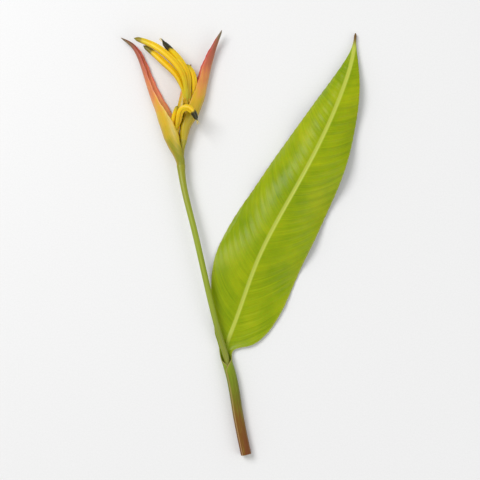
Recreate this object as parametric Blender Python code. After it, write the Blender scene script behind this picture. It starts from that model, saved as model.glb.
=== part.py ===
"""One heliconia flower as picked, lying on a flat surface.

The flower stalk comes out of the sheath of one leaf and ends in a zigzag axis. Each node of the axis
carries a folded, boat-shaped bract, and each of the three lower bracts holds florets in its axil.
Sizes are in millimetres here, and the meshes are written in metres. X runs to the right, Y along the
flower and Z up. Shapes are drawn from the lowest node of the axis, which lies at HEAD.
"""

import math

import bmesh
import bpy
import numpy as np

METRE = 0.001
HEAD = np.array([-42.63, 58.78, 0.0])

BRACT_SKIN = 0.8
BLADE_SKIN = 0.7

# Flower stalk: route of its middle, from the cut end to the end of the zigzag axis
STALK_ROUTE = (
    (47.0, -212.0, 3.8),
    (40.6, -180.0, 3.8),
    (35.2, -152.0, 3.8),
    (32.7, -142.0, 4.0),
    (28.2, -127.0, 6.6),
    (20.0, -95.0, 9.2),
    (8.6, -46.0, 10.0),
    (1.2, -14.0, 8.2),
    (0.0, 0.0, 7.2),
    (0.6, 8.0, 7.0),
    (1.7, 16.0, 6.9),
    (0.8, 28.0, 6.7),
    (1.9, 37.0, 6.6),
    (2.4, 42.0, 6.5),
)
# Radius by the distance from the cut end. It swells to a shoulder under the feet of bracts 1 and 2.
STALK_RADII = (
    (0.0, 2.15),
    (80.0, 2.1),
    (180.0, 2.2),
    (200.0, 2.4),
    (208.0, 2.7),
    (213.2, 3.1),
    (214.0, 3.0),
    (214.4, 2.3),
    (222.0, 2.25),
    (228.0, 2.3),
    (231.6, 2.85),
    (232.5, 2.8),
    (232.9, 2.1),
    (243.0, 1.65),
    (250.0, 1.4),
    (255.0, 1.05),
    (260.0, 0.65),
)
STALK_SIDES = 12
STALK_ROW_GAPS = ((0.0, 7.0), (200.0, 6.0), (206.0, 1.6), (262.0, 1.6))
# Rows nearer than this to a corner of a shoulder are left out
STALK_ROW_CLOSEST = 0.3

# Leaf: route of the middle of its back, from the cut end of the sheath to the tip of the blade
LEAF_ROUTE = (
    (47.0, -212.0, 0.35),
    (40.6, -180.0, 0.35),
    (35.2, -152.0, 0.35),
    (32.6, -141.5, 0.4),
    (32.8, -136.0, 0.6),
    (36.0, -126.0, 1.2),
    (43.4, -106.0, 2.8),
    (56.0, -72.0, 8.6),
    (78.5, -29.0, 14.0),
    (101.0, 13.0, 14.6),
    (117.0, 50.0, 10.4),
    (126.0, 81.0, 4.4),
    (127.6, 94.0, 2.2),
)
SHEATH_RADIUS = 3.45
SHEATH_TURN = 3.75
SHEATH_SPIRAL = 0.55
SHEATH_LENGTH = 61.0
# Each table below gives a value along the leaf, by the distance from the cut end
HALF_WIDTHS = (
    (0.0, SHEATH_RADIUS * SHEATH_TURN),
    (SHEATH_LENGTH, SHEATH_RADIUS * SHEATH_TURN),
    (65.0, 10.2),
    (69.0, 7.0),
    (73.0, 5.2),
    (76.0, 5.8),
    (80.0, 9.6),
    (85.0, 16.0),
    (92.0, 21.6),
    (104.0, 26.6),
    (122.0, 30.0),
    (146.0, 31.6),
    (172.0, 31.8),
    (205.0, 29.8),
    (240.0, 25.0),
    (268.0, 18.6),
    (292.0, 10.8),
    (306.0, 5.6),
    (317.0, 2.0),
    (324.0, 0.9),
    (342.0, 0.6),
)
TURNS = (
    (0.0, SHEATH_TURN),
    (SHEATH_LENGTH, SHEATH_TURN),
    (65.0, 3.0),
    (69.0, 1.9),
    (74.0, 0.95),
    (80.0, 0.42),
    (88.0, 0.16),
    (100.0, 0.0),
    (120.0, -0.14),
    (150.0, -0.4),
    (190.0, -0.6),
    (250.0, -0.62),
    (300.0, -0.5),
    (342.0, -0.3),
)
# The left half of the blade droops more than the right half, and starts narrower
DROOPS = {-1: 1.8, 1: 0.8}
LEFT_WIDTHS = ((0.0, 1.0), (72.0, 1.0), (80.0, 0.72), (92.0, 0.66), (110.0, 0.82), (145.0, 1.0), (342.0, 1.0))
# The blade leans to its right, so that its right edge meets the surface
LEANS = ((0.0, 0.0), (86.0, 0.0), (130.0, 0.03), (180.0, 0.06), (260.0, 0.05), (342.0, 0.0))
WAVE_HEIGHTS = ((0.0, 0.0), (92.0, 0.0), (125.0, 1.0), (170.0, 2.3), (270.0, 2.1), (315.0, 0.3), (342.0, 0.0))
WAVE_LENGTH = 61.0
WAVE_PHASES = {-1: 0.6, 1: 2.9}
MIDRIB_DEPTHS = ((0.0, 0.0), (64.0, 0.0), (74.0, 1.0), (92.0, 1.7), (200.0, 1.1), (310.0, 0.3), (342.0, 0.1))
MIDRIB_HALF_WIDTH = 1.7
# From 0 in the sheath to 1 in the blade: how far the sheet is unrolled, and how far it rests by its skin
UNROLLED = ((0.0, 0.0), (SHEATH_LENGTH, 0.0), (110.0, 1.0), (342.0, 1.0))
RESTING = ((0.0, 0.0), (62.0, 0.0), (72.0, 1.0), (342.0, 1.0))
SPIRAL_SHARES = ((0.0, 1.0), (SHEATH_LENGTH, 1.0), (78.0, 0.0), (342.0, 0.0))
# Where the rows of the leaf's mesh lie: (distance from the cut end, number of rows up to there)
LEAF_ROWS = ((0.0, 0), (57.0, 4), (80.0, 14), (110.0, 8), (300.0, 22), (None, 6))
# Columns from the midrib to one edge of the blade, as shares of its half width
BLADE_COLUMNS = (0.0, 0.04, 0.1, 0.22, 0.38, 0.54, 0.7, 0.85, 1.0)
FLOOR_SOFTNESS = 0.6

# Bracts. Each route is the middle of the opening between the two rims, and starts on the axis.
# Depth is from there to the keel, width is half the gap between the cheeks, opening is how far round
# from the keel each cheek reaches, and roll turns the opening up from the surface. Behind the opening
# the rims clasp the axis, as far from its middle as the depth at the foot.
BRACTS = {
    "bract_1": {
        "side": -1,
        "rows": 28,
        "rolls": ((0.0, 0.0), (0.2, 0.08), (0.45, 0.45), (0.7, 0.6), (1.0, 0.6)),
        "openings": ((0.0, 2.85), (0.04, 2.4), (0.09, 1.8), (0.16, 1.6), (1.0, 1.57)),
        "route": (
            (0.1, -3.0, 7.4),
            (0.1, 3.0, 7.1),
            (-0.5, 12.0, 6.9),
            (-3.0, 22.0, 6.7),
            (-8.0, 32.7, 6.4),
            (-14.9, 44.2, 5.7),
            (-20.6, 55.8, 4.8),
            (-24.8, 66.5, 4.2),
            (-29.3, 76.9, 4.2),
            (-34.6, 84.2, 4.6),
            (-44.2, 89.8, 5.2),
        ),
        "depths": (
            (0.0, 2.7),
            (0.04, 4.2),
            (0.12, 8.2),
            (0.22, 10.2),
            (0.33, 9.7),
            (0.45, 7.1),
            (0.57, 5.2),
            (0.7, 4.0),
            (0.81, 3.1),
            (0.9, 1.9),
            (1.0, 0.3),
        ),
        "widths": (
            (0.0, 2.7),
            (0.1, 4.3),
            (0.2, 5.0),
            (0.34, 4.8),
            (0.5, 3.7),
            (0.65, 2.5),
            (0.85, 1.3),
            (1.0, 0.25),
        ),
    },
    "bract_2": {
        "side": 1,
        "rows": 26,
        "rolls": ((0.0, 0.0), (0.2, 0.05), (0.5, 0.3), (1.0, 0.35)),
        "openings": ((0.0, 2.85), (0.08, 2.45), (0.18, 2.05), (0.27, 1.6), (1.0, 1.57)),
        "route": (
            (1.7, 15.4, 6.9),
            (2.2, 24.0, 6.8),
            (4.6, 36.0, 6.6),
            (8.5, 48.0, 6.2),
            (12.0, 58.0, 5.8),
            (14.9, 67.0, 5.7),
            (18.6, 76.0, 5.9),
            (23.4, 85.0, 6.5),
            (29.5, 95.0, 7.4),
        ),
        "depths": (
            (0.0, 2.5),
            (0.09, 3.9),
            (0.24, 8.0),
            (0.39, 8.5),
            (0.51, 7.2),
            (0.62, 6.2),
            (0.74, 4.7),
            (0.86, 2.5),
            (1.0, 0.3),
        ),
        "widths": (
            (0.0, 2.5),
            (0.1, 3.8),
            (0.25, 4.9),
            (0.42, 4.4),
            (0.6, 3.2),
            (0.8, 1.8),
            (1.0, 0.25),
        ),
    },
    "bract_3": {
        "side": -1,
        "rows": 18,
        "rolls": ((0.0, 0.0), (0.2, 0.05), (0.5, 0.3), (1.0, 0.35)),
        "openings": ((0.0, 2.85), (0.06, 2.4), (0.13, 1.8), (0.22, 1.6), (1.0, 1.57)),
        "route": (
            (0.85, 27.4, 6.7),
            (1.4, 35.0, 6.6),
            (2.9, 44.0, 6.4),
            (4.5, 53.5, 6.1),
            (6.0, 62.5, 5.9),
            (7.2, 70.0, 5.8),
        ),
        "depths": (
            (0.0, 2.05),
            (0.12, 2.9),
            (0.26, 3.8),
            (0.48, 3.7),
            (0.75, 2.4),
            (1.0, 0.3),
        ),
        "widths": (
            (0.0, 2.05),
            (0.15, 2.55),
            (0.4, 2.5),
            (0.7, 1.65),
            (1.0, 0.25),
        ),
    },
    "bract_4": {
        "side": 1,
        "rows": 12,
        "rolls": ((0.0, 0.0), (1.0, 0.2)),
        "openings": ((0.0, 2.85), (0.06, 2.4), (0.13, 1.8), (0.22, 1.6), (1.0, 1.57)),
        "route": (
            (1.95, 37.8, 6.6),
            (2.6, 41.5, 6.5),
            (3.8, 46.0, 6.4),
            (5.0, 51.0, 6.3),
        ),
        "depths": (
            (0.0, 1.4),
            (0.3, 1.8),
            (0.6, 1.4),
            (1.0, 0.25),
        ),
        "widths": (
            (0.0, 1.4),
            (0.4, 1.1),
            (0.75, 0.7),
            (1.0, 0.2),
        ),
    },
}
BRACT_SKIN_SHARES = ((0.0, 0.7), (0.06, 1.0), (0.85, 1.0), (1.0, 0.65))
BRACT_COLUMNS = 12
# Rows crowd towards the foot by this power
BRACT_ROW_CROWDING = 1.15
# How sharply the keel is folded: 1 is round
BRACT_FOLDS = ((0.0, 1.0), (0.05, 1.05), (0.16, 1.3), (1.0, 1.3))

# Florets. A floret's route runs from its foot to its tip. An open one has one sepal standing free.
FLORET_RADII = (
    (0.0, 0.85),
    (0.16, 0.95),
    (0.2, 1.5),
    (0.25, 1.75),
    (0.3, 1.5),
    (0.45, 2.2),
    (0.7, 2.5),
    (0.88, 2.15),
    (0.96, 1.6),
    (1.0, 0.7),
)
FLORET_SIDES = 9
FLORET_ROWS = 18
FLORET_LOBES = 0.1
FREE_SEPAL = {
    "from": 0.5,
    "half_width": 1.4,
    "taper": 0.8,
    "cup": 0.35,
    "start_off": 1.0,
    "stand_off": 5.5,
    "bend": 1.6,
    "skin": 0.6,
    "rows": 10,
    "columns": 4,
}
FOOT_SMOOTHNESS = 2
FLORETS = {
    "florets_1": {
        "foot": (-4.8, 9.4, 7.0),
        "foot_size": (1.9, 3.2, 2.6),
        "stems": (
            {
                "route": (
                    (-4.7, 9.6, 7.7),
                    (-4.2, 17.0, 7.8),
                    (-2.6, 23.6, 10.2),
                    (-1.2, 29.4, 14.6),
                    (1.0, 34.4, 18.0),
                    (5.0, 35.8, 19.2),
                    (9.2, 32.8, 18.7),
                    (12.0, 27.0, 17.2),
                ),
                "size": 0.98,
                "free": 1,
            },
            {
                "route": (
                    (-5.4, 9.6, 6.9),
                    (-7.2, 18.0, 7.2),
                    (-5.7, 26.0, 8.1),
                    (-3.9, 32.6, 11.0),
                    (-2.2, 38.0, 13.6),
                ),
                "size": 0.95,
                "free": 0,
            },
            {
                "route": (
                    (-5.4, 9.6, 6.0),
                    (-9.2, 19.0, 5.8),
                    (-11.2, 29.0, 5.8),
                    (-12.6, 37.0, 6.0),
                ),
                "size": 0.7,
                "free": 0,
            },
        ),
    },
    "florets_2": {
        "foot": (5.6, 28.6, 6.8),
        "foot_size": (1.5, 3.6, 2.3),
        "stems": (
            {
                "route": (
                    (5.8, 30.0, 7.2),
                    (5.9, 38.0, 8.5),
                    (5.9, 46.0, 10.1),
                    (5.5, 54.0, 11.7),
                    (4.2, 62.0, 13.2),
                    (0.6, 68.8, 13.6),
                    (-2.8, 73.4, 13.6),
                    (-7.2, 78.3, 13.2),
                    (-13.4, 85.4, 12.2),
                ),
                "size": 1.0,
                "free": 1,
            },
            {
                "route": (
                    (5.5, 30.0, 7.4),
                    (4.6, 36.0, 9.4),
                    (4.1, 44.0, 12.8),
                    (3.4, 52.0, 15.6),
                    (1.8, 59.0, 16.9),
                    (-2.8, 66.8, 17.4),
                    (-10.9, 75.2, 16.9),
                    (-19.4, 81.4, 15.6),
                    (-34.0, 87.6, 12.9),
                ),
                "size": 1.0,
                "free": 0,
            },
            {
                "route": (
                    (5.4, 30.0, 6.8),
                    (4.7, 37.0, 9.4),
                    (3.0, 45.0, 12.4),
                    (0.9, 52.0, 13.2),
                    (-2.8, 59.8, 13.2),
                    (-10.9, 68.4, 12.6),
                    (-19.2, 76.2, 11.6),
                    (-27.4, 82.8, 10.3),
                ),
                "size": 0.95,
                "free": 0,
            },
            {
                "route": (
                    (6.2, 30.0, 5.9),
                    (8.0, 40.0, 6.6),
                    (9.1, 48.0, 7.8),
                    (9.5, 55.0, 9.2),
                    (8.7, 61.0, 10.3),
                    (6.4, 65.6, 10.8),
                    (3.2, 68.8, 10.8),
                ),
                "size": 0.85,
                "free": 0,
            },
        ),
    },
    "florets_3": {
        "foot": (-0.6, 36.4, 6.6),
        "foot_size": (0.65, 1.8, 0.9),
        "stems": (
            {
                "route": (
                    (-0.7, 37.0, 6.6),
                    (0.6, 43.0, 6.5),
                    (2.2, 49.0, 6.2),
                    (4.0, 54.5, 6.1),
                    (5.6, 58.8, 6.4),
                ),
                "size": 0.46,
                "free": 0,
            },
        ),
    },
}

COLOURS = {
    "stalk": ((0.36, 0.40, 0.05), 0.45),
    "leaf": ((0.16, 0.32, 0.02), 0.3),
    "bract": ((0.75, 0.18, 0.08), 0.4),
    "floret": ((0.80, 0.50, 0.02), 0.4),
}


def clear_scene():
    for thing in list(bpy.data.objects):
        bpy.data.objects.remove(thing)


def material(name):
    """The plain material of that name, made once."""
    found = bpy.data.materials.get(name)
    if found:
        return found
    colour, roughness = COLOURS[name]
    made = bpy.data.materials.new(name)
    made.use_nodes = True
    shader = made.node_tree.nodes["Principled BSDF"]
    shader.inputs["Base Color"].default_value = (*colour, 1.0)
    shader.inputs["Roughness"].default_value = roughness
    return made


def profile(table, at):
    """Values at the places `at` on a monotone cubic curve through the table's (place, value) pairs."""
    places, values = np.array(table, float).T
    at = np.asarray(at, float)
    gaps = np.diff(places)
    slopes = np.diff(values) / gaps
    tangents = np.zeros(len(places))
    tangents[0], tangents[-1] = slopes[0], slopes[-1]
    for i in range(1, len(slopes)):
        if slopes[i - 1] * slopes[i] > 0:
            tangents[i] = 2 * slopes[i - 1] * slopes[i] / (slopes[i - 1] + slopes[i])
    cell = np.clip(np.searchsorted(places, at) - 1, 0, len(gaps) - 1)
    t = np.clip((at - places[cell]) / gaps[cell], 0, 1)
    rise = values[cell] + t * t * (3 - 2 * t) * (values[cell + 1] - values[cell])
    bend = t * (1 - t) * gaps[cell] * ((1 - t) * tangents[cell] - t * tangents[cell + 1])
    return rise + bend


def spline(points, per_span=40):
    """Points close together on the natural cubic spline through `points`, and the distance to each."""
    points = np.array(points, float)
    knots = np.concatenate([[0], np.cumsum(np.linalg.norm(np.diff(points, axis=0), axis=1))])
    count, gaps = len(points), np.diff(knots)
    system, right = np.eye(count), np.zeros((count, 3))
    for i in range(1, count - 1):
        system[i, i - 1 : i + 2] = gaps[i - 1], 2 * (gaps[i - 1] + gaps[i]), gaps[i]
        step_in = (points[i] - points[i - 1]) / gaps[i - 1]
        step_out = (points[i + 1] - points[i]) / gaps[i]
        right[i] = 6 * (step_out - step_in)
    curving = np.linalg.solve(system, right)
    at = np.linspace(0, knots[-1], per_span * (count - 1) + 1)
    cell = np.clip(np.searchsorted(knots, at) - 1, 0, count - 2)
    gap = gaps[cell][:, None]
    after = (at - knots[cell])[:, None]
    before = gap - after
    line = (points[cell] * before + points[cell + 1] * after) / gap
    sag_before = (before**3 / gap - before * gap) * curving[cell]
    sag_after = (after**3 / gap - after * gap) * curving[cell + 1]
    curve = line + (sag_before + sag_after) / 6
    lengths = np.concatenate([[0], np.cumsum(np.linalg.norm(np.diff(curve, axis=0), axis=1))])
    return curve, lengths


def along(curve, lengths, at):
    """The points of the curve at the distances `at`."""
    return np.stack([np.interp(at, lengths, curve[:, i]) for i in range(3)], axis=1)


def unit(vectors):
    return vectors / np.linalg.norm(vectors, axis=-1, keepdims=True)


def frames(centres):
    """(forward, right, up) at each centre, with right level."""
    forward = unit(np.gradient(centres, axis=0))
    right = unit(np.cross(forward, (0.0, 0.0, 1.0)))
    return forward, right, np.cross(right, forward)


def build(name, points, faces, look):
    """An object of that name with these points, in millimetres from the lowest node of the axis."""
    mesh = bpy.data.meshes.new(name)
    mesh.from_pydata([tuple((p + HEAD) * METRE) for p in points], [], faces)
    mesh.validate()
    mesh.materials.append(material(look))
    mesh.shade_smooth()
    thing = bpy.data.objects.new(name, mesh)
    bpy.context.scene.collection.objects.link(thing)
    return thing


def tube(name, centres, radii, sides, look, lobes=0.0):
    """A closed tube round the centres. `lobes` gives it three rounded corners."""
    _, right, up = frames(centres)
    rows = len(centres)
    points = []
    for row in range(rows):
        for side in range(sides):
            angle = 2 * math.pi * side / sides
            reach = radii[row] * (1 + lobes * math.cos(3 * angle))
            points.append(centres[row] + reach * (math.cos(angle) * right[row] + math.sin(angle) * up[row]))
    faces = [tuple(range(sides))]
    for row in range(rows - 1):
        for side in range(sides):
            a = row * sides + side
            b = row * sides + (side + 1) % sides
            faces.append((a, a + sides, b + sides, b))
    faces.append(tuple(range((rows - 1) * sides, rows * sides))[::-1])
    return build(name, points, faces, look)


def slab(name, upper, lower, look):
    """The closed solid between two grids of points, split into triangles alike on both faces."""
    rows, columns = upper.shape[:2]
    count = rows * columns
    faces = []

    def quad(a, b, c, d):
        faces.extend(((a, b, c), (a, c, d)))

    for row in range(rows - 1):
        for column in range(columns - 1):
            a = row * columns + column
            b, c, d = a + 1, a + columns + 1, a + columns
            quad(a, b, c, d)
            faces.extend(((a + count, c + count, b + count), (a + count, d + count, c + count)))
    for column in range(columns - 1):
        first, last = column, (rows - 1) * columns + column
        quad(first + 1, first, first + count, first + 1 + count)
        quad(last, last + 1, last + 1 + count, last + count)
    for row in range(rows - 1):
        left, right = row * columns, row * columns + columns - 1
        quad(left, left + columns, left + columns + count, left + count)
        quad(right + columns, right, right + count, right + columns + count)
    points = np.concatenate([upper.reshape(-1, 3), lower.reshape(-1, 3)])
    return build(name, points, faces, look)


def bow(width, turn, share):
    """Sideways and upward places on an arc that turns by `turn` over `width`, at `share` of both."""
    angle = turn * share
    small = np.abs(angle) < 1e-6
    safe = np.where(small, 1.0, angle)
    sideways = width * share * np.where(small, 1.0, np.sin(safe) / safe)
    upward = width * share * np.where(small, 0.0, (1 - np.cos(safe)) / safe)
    return sideways, upward


def leaf_rows(length):
    """Distances of the leaf mesh's rows from the cut end."""
    places, start = [0.0], 0.0
    for end, rows in LEAF_ROWS[1:]:
        end = length if end is None else end
        places.extend(np.linspace(start, end, rows + 1)[1:])
        start = end
    return np.array(places)


def leaf_columns(at):
    """For each row, the shares of the half width at which its columns lie, from -1 to 1."""
    count = len(BLADE_COLUMNS) - 1
    even = np.linspace(0, 1, count + 1)
    blade = profile(UNROLLED, at)[:, None]
    half = even * (1 - blade) + np.array(BLADE_COLUMNS) * blade
    return np.concatenate([-half[:, :0:-1], half], axis=1)


def leaf_surface():
    """The middle surface of the leaf as a grid, and at each point its distance from the midrib."""
    curve, lengths = spline(LEAF_ROUTE)
    at = leaf_rows(lengths[-1])
    centres = along(curve, lengths, at)
    _, right, up = frames(centres)
    share = leaf_columns(at)
    width = profile(HALF_WIDTHS, at)[:, None] * np.where(share < 0, profile(LEFT_WIDTHS, at)[:, None], 1.0)
    turn = profile(TURNS, at)[:, None] * np.ones_like(share)
    turn = np.where(turn < 0, turn * np.where(share < 0, DROOPS[-1], DROOPS[1]), turn)
    spiral = SHEATH_SPIRAL * profile(SPIRAL_SHARES, at)[:, None]
    sideways, upward = bow(width, turn, share)
    sideways = sideways + spiral * share * np.sin(turn * share)
    upward = upward - spiral * share * np.cos(turn * share)
    wave = profile(WAVE_HEIGHTS, at)[:, None]
    phase = np.where(share < 0, WAVE_PHASES[-1], WAVE_PHASES[1])
    upward = upward + wave * share**2 * np.sin(2 * math.pi * at[:, None] / WAVE_LENGTH + phase)
    lean = profile(LEANS, at)[:, None]
    level = sideways * np.cos(lean) + upward * np.sin(lean)
    height = upward * np.cos(lean) - sideways * np.sin(lean)
    grid = centres[:, None] + level[..., None] * right[:, None] + height[..., None] * up[:, None]
    return at, grid, share * width


def leaf():
    """Sheath, stalk of the leaf, midrib and blade in one: a rolled sheet that opens into the blade."""
    at, grid, from_midrib = leaf_surface()
    down_leaf, across = np.gradient(grid, axis=(0, 1))
    normal = unit(np.cross(across, down_leaf))
    rib = profile(MIDRIB_DEPTHS, at)[:, None] * np.exp(-((from_midrib / MIDRIB_HALF_WIDTH) ** 2))
    upper = grid + normal * BLADE_SKIN / 2
    lower = grid - normal * (BLADE_SKIN / 2 + rib)[..., None]
    height = lower[..., 2]
    rested = (height + np.sqrt(height**2 + FLOOR_SOFTNESS**2)) / 2
    lift = profile(RESTING, at)[:, None] * (rested - height)
    upper[..., 2] += lift
    lower[..., 2] += lift
    return slab("leaf", upper, lower, "leaf")


def bract(name, plan):
    """A folded, boat-shaped bract. Its foot rings the axis, and it opens towards the axis above."""
    side = plan["side"]
    curve, lengths = spline(plan["route"])
    place = np.linspace(0, 1, plan["rows"] + 1) ** BRACT_ROW_CROWDING
    centres = along(curve, lengths, place * lengths[-1])
    _, right, up = frames(centres)
    roll = profile(plan["rolls"], place)[:, None]
    outward = side * right * np.cos(roll) - up * np.sin(roll)
    upward = side * right * np.sin(roll) + up * np.cos(roll)
    depth, width = profile(plan["depths"], place)[:, None], profile(plan["widths"], place)[:, None]
    share = np.linspace(-1, 1, BRACT_COLUMNS + 1)
    angle = profile(plan["openings"], place)[:, None] * share
    fold = profile(BRACT_FOLDS, place)[:, None]
    deep, wide = np.cos(angle), np.sign(angle) * np.abs(np.sin(angle)) ** fold
    reach = np.where(deep < 0, plan["depths"][0][1], depth)
    skin = BRACT_SKIN * profile(BRACT_SKIN_SHARES, place)[:, None]

    def face(extra):
        along_keel = ((reach + extra) * deep)[..., None] * outward[:, None]
        along_cheek = ((width + extra) * wide)[..., None] * upward[:, None]
        return centres[:, None] + along_keel + along_cheek

    inner, outer = face(0.0), face(skin)
    if side < 0:
        inner, outer = inner[:, ::-1], outer[:, ::-1]
    return slab(name, inner, outer, "bract")


def floret(name, route, size, free):
    """The solids of one floret: its tube on its little stem and, on an open floret, its free sepal."""
    curve, lengths = spline(route)
    place = np.linspace(0, 1, FLORET_ROWS + 1)
    centres = along(curve, lengths, place * lengths[-1])
    made = [tube(name, centres, size * profile(FLORET_RADII, place), FLORET_SIDES, "floret", FLORET_LOBES)]
    if free:
        made.append(free_sepal(name + "_sepal", curve, lengths, size))
    return made


def free_sepal(name, curve, lengths, size):
    """The sepal of an open floret that bends away from the others, cupped towards them."""
    plan = FREE_SEPAL
    place = np.linspace(plan["from"], 1, plan["rows"] + 1)
    centres = along(curve, lengths, place * lengths[-1])
    _, right, up = frames(centres)
    rise = (place - plan["from"]) / (1 - plan["from"])
    off = size * (plan["start_off"] + plan["stand_off"] * rise ** plan["bend"])
    width = size * plan["half_width"] * (1 - plan["taper"] * rise**3)
    share = np.linspace(-1, 1, plan["columns"] + 1)
    across = (width[:, None] * share)[..., None] * right[:, None]
    cup = (plan["cup"] * width[:, None] * share**2)[..., None] * up[:, None]
    grid = (centres + off[:, None] * up)[:, None] + across - cup
    skin = plan["skin"] / 2 * up[:, None]
    return slab(name, grid + skin, grid - skin, "floret")


def foot(name, centre, size):
    """The cushion in the axil that the florets of one bract stand on."""
    mesh = bpy.data.meshes.new(name)
    ball = bmesh.new()
    bmesh.ops.create_icosphere(ball, subdivisions=FOOT_SMOOTHNESS, radius=1.0)
    for vertex in ball.verts:
        vertex.co = (np.array(vertex.co) * size + centre + HEAD) * METRE
    ball.to_mesh(mesh)
    ball.free()
    mesh.materials.append(material("floret"))
    mesh.shade_smooth()
    thing = bpy.data.objects.new(name, mesh)
    bpy.context.scene.collection.objects.link(thing)
    return thing


def join(base, others):
    """Unites the others with the base by one Boolean, and removes them."""
    group = bpy.data.collections.new(base.name + "_parts")
    for thing in others:
        group.objects.link(thing)
    union = base.modifiers.new("union", "BOOLEAN")
    union.operation = "UNION"
    union.operand_type = "COLLECTION"
    union.collection = group
    union.solver = "EXACT"
    bpy.context.view_layer.update()
    graph = bpy.context.evaluated_depsgraph_get()
    joined = bpy.data.meshes.new_from_object(base.evaluated_get(graph))
    base.modifiers.clear()
    base.data = joined
    for thing in others:
        bpy.data.objects.remove(thing)
    bpy.data.collections.remove(group)
    return base


def florets(name, plan):
    """All the florets in one bract's axil, fused where they stand on their foot."""
    base = foot(name, np.array(plan["foot"]), np.array(plan["foot_size"]))
    solids = []
    for number, stem in enumerate(plan["stems"]):
        solids += floret(f"{name}_{number}", stem["route"], stem["size"], stem["free"])
    return join(base, solids)


def stalk_rows(length):
    """Distances of the stalk mesh's rows from the cut end. The corners of the shoulders are among them."""
    places = [0.0]
    while places[-1] < length:
        places.append(places[-1] + float(profile(STALK_ROW_GAPS, places[-1])))
    even = np.array(places[:-1]) * length / places[-2]
    corners = np.array([place for place, _ in STALK_RADII[1:-1]])
    apart = np.abs(even[:, None] - corners).min(axis=1)
    return np.sort(np.concatenate([even[apart > STALK_ROW_CLOSEST], corners]))


def stalk():
    """The flower stalk, with the zigzag axis of the flower at its end."""
    curve, lengths = spline(STALK_ROUTE)
    at = stalk_rows(lengths[-1])
    return tube("stalk", along(curve, lengths, at), profile(STALK_RADII, at), STALK_SIDES, "stalk")


def main():
    clear_scene()
    stalk()
    leaf()
    for name, plan in BRACTS.items():
        bract(name, plan)
    for name, plan in FLORETS.items():
        florets(name, plan)


main()
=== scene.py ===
"""One heliconia flower as picked, lying on a pale floor, seen from above.

Each solid of the part is replaced by a finer piece drawn from the same measures, with its veins, seams,
waved rims, scale leaves, anthers and colours. Sizes are in millimetres, and the meshes are written in
metres. Shapes are drawn from the lowest node of the flower's axis, which lies at HEAD.
"""

import math
from types import SimpleNamespace as Record

import bpy
import numpy as np
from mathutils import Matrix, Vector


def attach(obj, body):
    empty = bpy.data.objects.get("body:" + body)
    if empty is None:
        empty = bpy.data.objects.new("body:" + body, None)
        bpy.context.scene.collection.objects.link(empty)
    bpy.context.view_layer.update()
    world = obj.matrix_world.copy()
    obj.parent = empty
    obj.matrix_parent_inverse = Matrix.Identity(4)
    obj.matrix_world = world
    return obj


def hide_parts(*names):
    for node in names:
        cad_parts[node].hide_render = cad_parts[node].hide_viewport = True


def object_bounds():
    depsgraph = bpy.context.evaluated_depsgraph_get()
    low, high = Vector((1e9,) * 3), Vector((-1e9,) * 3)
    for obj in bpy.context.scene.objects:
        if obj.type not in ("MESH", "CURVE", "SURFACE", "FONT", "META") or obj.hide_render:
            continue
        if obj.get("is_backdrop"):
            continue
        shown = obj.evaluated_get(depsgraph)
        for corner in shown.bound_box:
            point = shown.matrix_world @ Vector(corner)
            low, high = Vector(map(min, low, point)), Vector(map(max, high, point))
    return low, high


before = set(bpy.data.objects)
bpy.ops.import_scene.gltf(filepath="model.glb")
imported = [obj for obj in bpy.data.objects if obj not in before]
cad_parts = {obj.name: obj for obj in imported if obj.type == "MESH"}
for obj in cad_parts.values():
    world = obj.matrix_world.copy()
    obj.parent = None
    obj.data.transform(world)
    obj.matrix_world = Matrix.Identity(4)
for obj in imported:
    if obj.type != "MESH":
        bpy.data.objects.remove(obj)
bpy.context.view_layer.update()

METRE = 0.001
HEAD = np.array([-42.63, 58.78, 0.0])
BRACT_SKIN = 0.8
BLADE_SKIN = 0.7
SEED = 7
# Points of a spline between two points of its route
SPLINE_STEPS = 40
# Below this angle an arc counts as straight
SMALL_ANGLE = 1e-6
# Points round the edge of a sheet, in degrees from its one face to the other
EDGE_BENDS = (45.0, 90.0, 135.0)
# The share of thickness that a sheet loses at its edge, as the share across to this power
EDGES = {"blade": (0.5, 8), "bract": (0.45, 6), "sepal": (0.45, 3), "scale": (0.4, 4)}
# Shares of the size in a piece's last rows, which round off its end
TIP_SHARES = (0.9, 0.65, 0.25)

# Flower stalk: route of its middle, from the cut end to the end of the zigzag axis
STALK_ROUTE = (
    (47, -212, 3.8), (40.6, -180, 3.8), (35.2, -152, 3.8), (32.7, -142, 4), (28.2, -127, 6.6),
    (20, -95, 9.2), (8.6, -46, 10), (1.2, -14, 8.2), (0, 0, 7.2), (0.6, 8, 7), (1.7, 16, 6.9),
    (0.8, 28, 6.7), (1.9, 37, 6.6), (2.4, 42, 6.5),
)
# Radius by the distance from the cut end. It swells to a shoulder under the feet of bracts 1 and 2.
STALK_RADII = (
    (0, 2.15), (80, 2.1), (180, 2.2), (200, 2.4), (208, 2.7), (213.2, 3.1), (214, 3), (214.4, 2.3),
    (222, 2.25), (228, 2.3), (231.6, 2.85), (232.5, 2.8), (232.9, 2.1), (243, 1.65), (250, 1.4),
    (255, 1.05), (260, 0.65),
)
# Rows of a piece: (end of the stretch, distance between its rows). None is the end of the piece.
STALK_ROW_STEPS = ((206, 1.1), (236, 0.17), (None, 0.4))
STALK_SIDES = 45
STALK_RIDGES = 9
STALK_RIDGE = 0.012
# Shares of the radius of the rings on the cut face, from its middle outwards
STALK_CUT = (0.04, 0.3, 0.6, 0.85, 0.95)

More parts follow.
